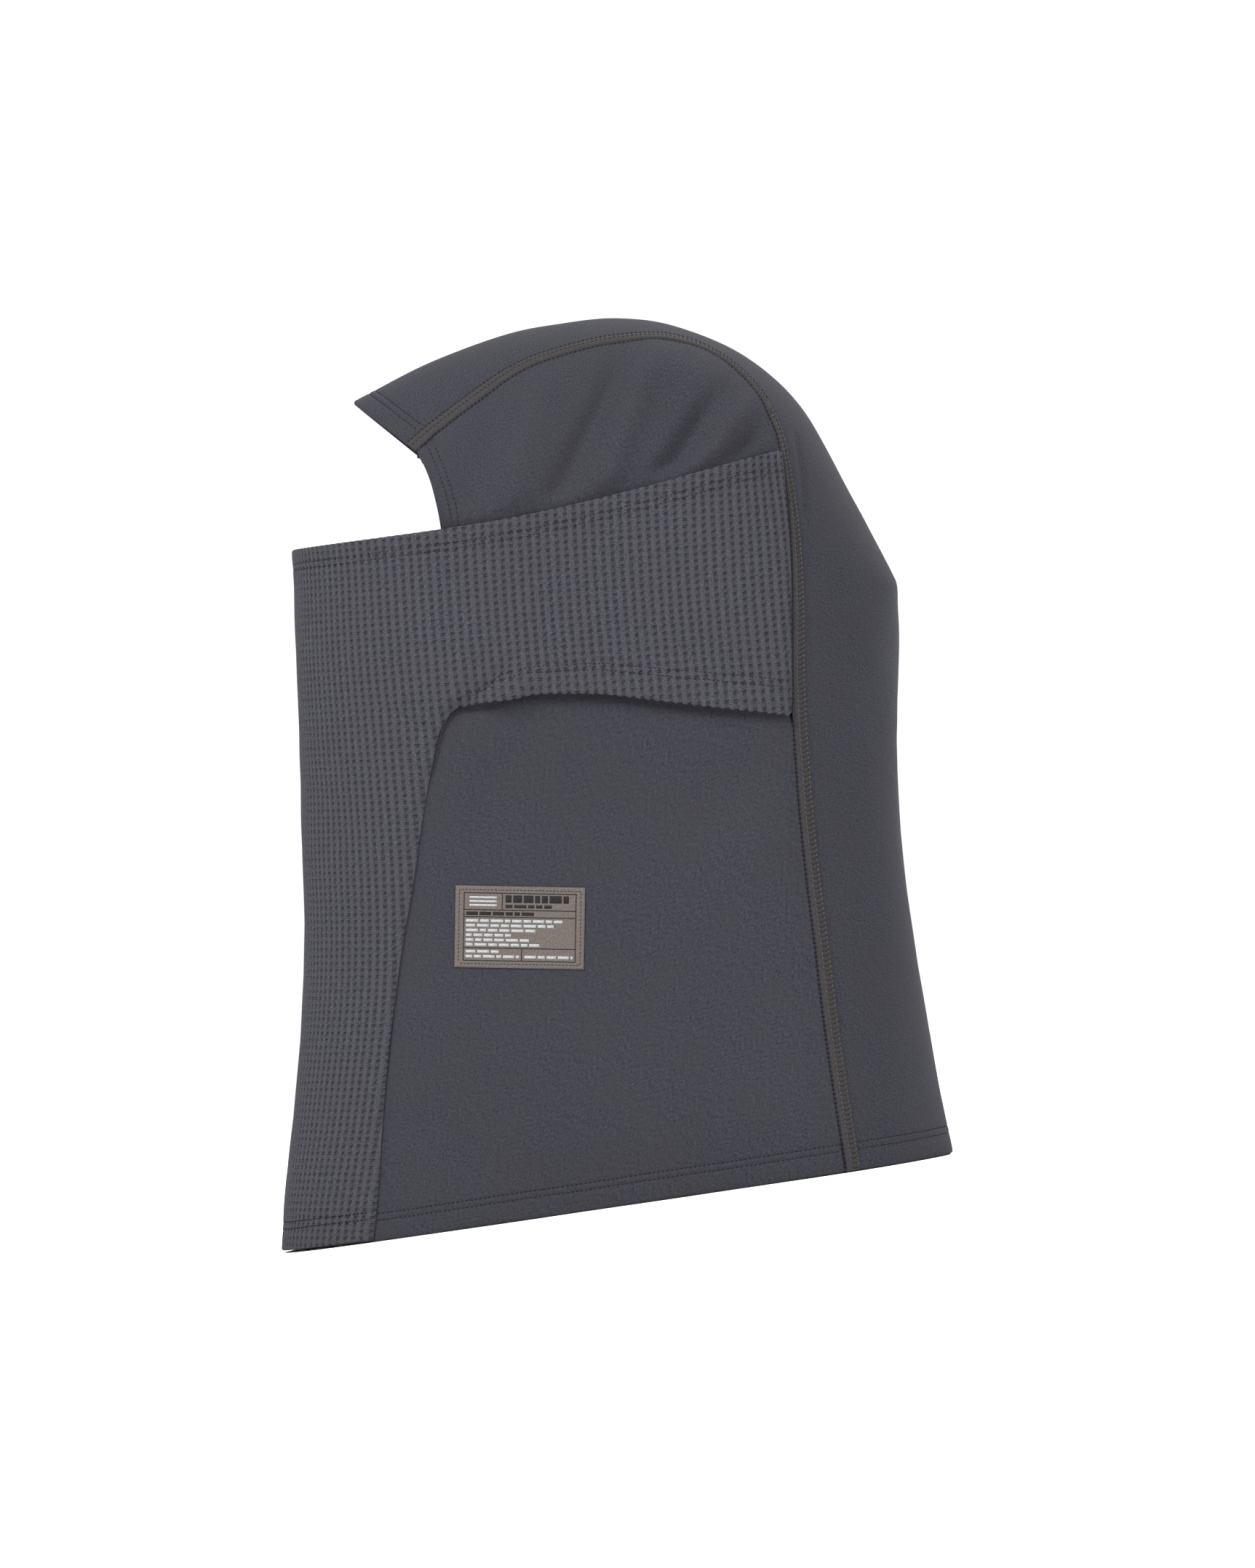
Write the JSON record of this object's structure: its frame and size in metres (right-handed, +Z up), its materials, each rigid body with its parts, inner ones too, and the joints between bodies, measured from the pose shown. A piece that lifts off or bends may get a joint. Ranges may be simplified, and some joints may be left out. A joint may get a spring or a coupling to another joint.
{
  "type": "balaclava",
  "caption": "Full-head balaclava with a peaked brim, an open face, a waffle-knit mask that pulls down, a front bib and a long flared neck.",
  "frame": {"origin": "on the ground, under the middle of the hood, standing open on its hem", "axes": "+Z up to the crown, the face looks along -Y, the wearer's left is +X"},
  "size_m": [0.1682, 0.2918, 0.3615],
  "materials": {
    "smooth_jersey": "fine brushed charcoal stretch jersey, matt",
    "waffle_knit": "charcoal waffle knit with upright ribs and small pits, matt",
    "sewing_thread": "brown-grey polyester sewing thread",
    "woven_label": "brown-grey damask woven label"
  },
  "bodies": {
    "hood": {"crown_back_panel": "smooth_jersey", "side_panel_left": "smooth_jersey", "side_panel_right": "smooth_jersey", "front_bib": "waffle_knit", "mask_side_left": "waffle_knit", "mask_side_right": "waffle_knit", "crown_seam_left": "sewing_thread", "crown_seam_right": "sewing_thread", "bib_seam_left": "sewing_thread", "bib_seam_right": "sewing_thread", "woven_label": "woven_label", "label_stitch": "sewing_thread", "brim_stitch_1": "sewing_thread", "brim_stitch_2": "sewing_thread", "hem_stitch_1": "sewing_thread", "hem_stitch_2": "sewing_thread", "face_stitch_left_1": "sewing_thread", "face_stitch_left_2": "sewing_thread", "mask_top_stitch_left_1": "sewing_thread", "mask_top_stitch_left_2": "sewing_thread", "arch_stitch_left_1": "sewing_thread", "arch_stitch_left_2": "sewing_thread", "face_stitch_right_1": "sewing_thread", "face_stitch_right_2": "sewing_thread", "mask_top_stitch_right_1": "sewing_thread", "mask_top_stitch_right_2": "sewing_thread", "arch_stitch_right_1": "sewing_thread", "arch_stitch_right_2": "sewing_thread"},
    "mask": {"mask_front": "waffle_knit", "mask_top_stitch_front_1": "sewing_thread", "mask_top_stitch_front_2": "sewing_thread", "arch_stitch_front_left_1": "sewing_thread", "arch_stitch_front_left_2": "sewing_thread", "arch_stitch_front_right_1": "sewing_thread", "arch_stitch_front_right_2": "sewing_thread"}
  },
  "joints": [
    {"name": "mask_pull_down", "type": "hinge", "parent": "hood", "child": "mask", "pos_m": [0, 0.09675, 0.2], "axis": [1, 0, 0], "range_deg": [0, 14], "deforming": ["front_bib", "mask_side_left", "mask_side_right", "mask_top_stitch_left_1", "mask_top_stitch_left_2", "arch_stitch_left_1", "arch_stitch_left_2", "mask_top_stitch_right_1", "mask_top_stitch_right_2", "arch_stitch_right_1", "arch_stitch_right_2"]}
  ]
}
